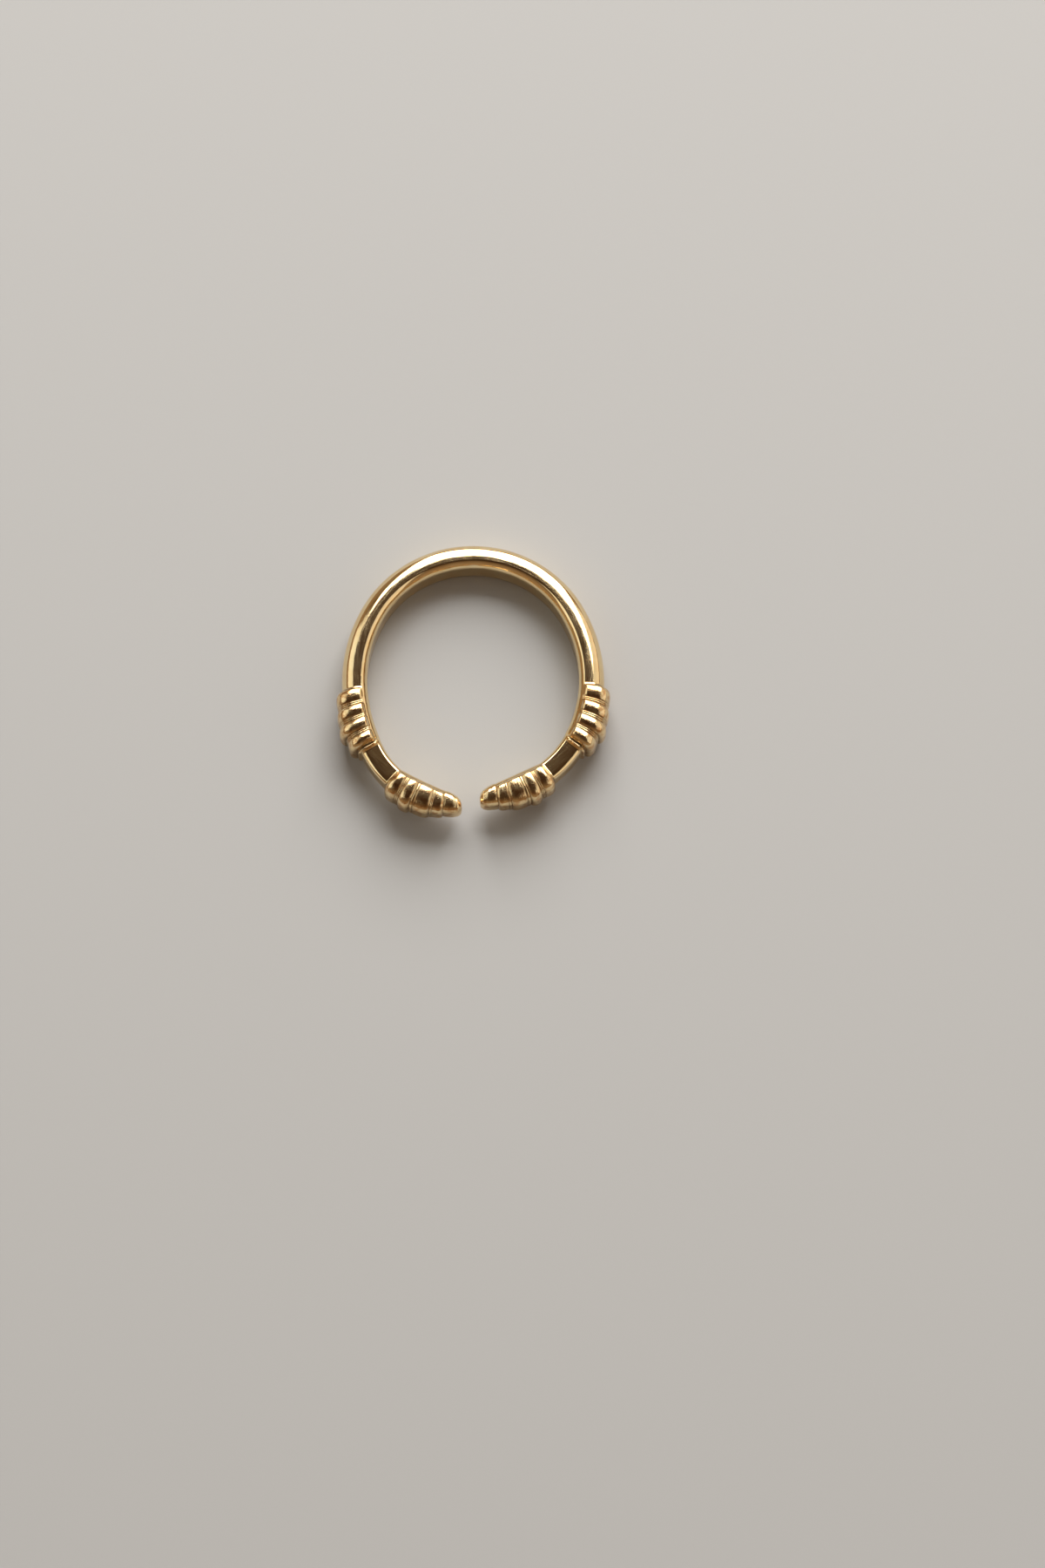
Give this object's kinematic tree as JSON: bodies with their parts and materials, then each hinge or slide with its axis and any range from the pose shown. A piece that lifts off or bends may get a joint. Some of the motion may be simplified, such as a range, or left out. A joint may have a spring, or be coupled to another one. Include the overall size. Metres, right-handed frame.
{
  "type": "open cuff ring",
  "caption": "Open finger ring cast in one piece: plain band at the back, ribbed collars at the sides and ribbed claws that end in rounded tips either side of a narrow gap.",
  "frame": {"origin": "on the axis of the true cylinder at the back of the finger hole, at half height", "axes": "+Z along the finger's axis, +Y towards the middle of the plain back band, so the gap between the tips is at -Y"},
  "size_m": [0.0214, 0.0221, 0.0036],
  "materials": {
    "polished_gold": "polished warm yellow gold over brass, with fine hairline scratches and darker furrows"
  },
  "bodies": {
    "root": {"cuff_ring": "polished_gold"}
  },
  "joints": []
}
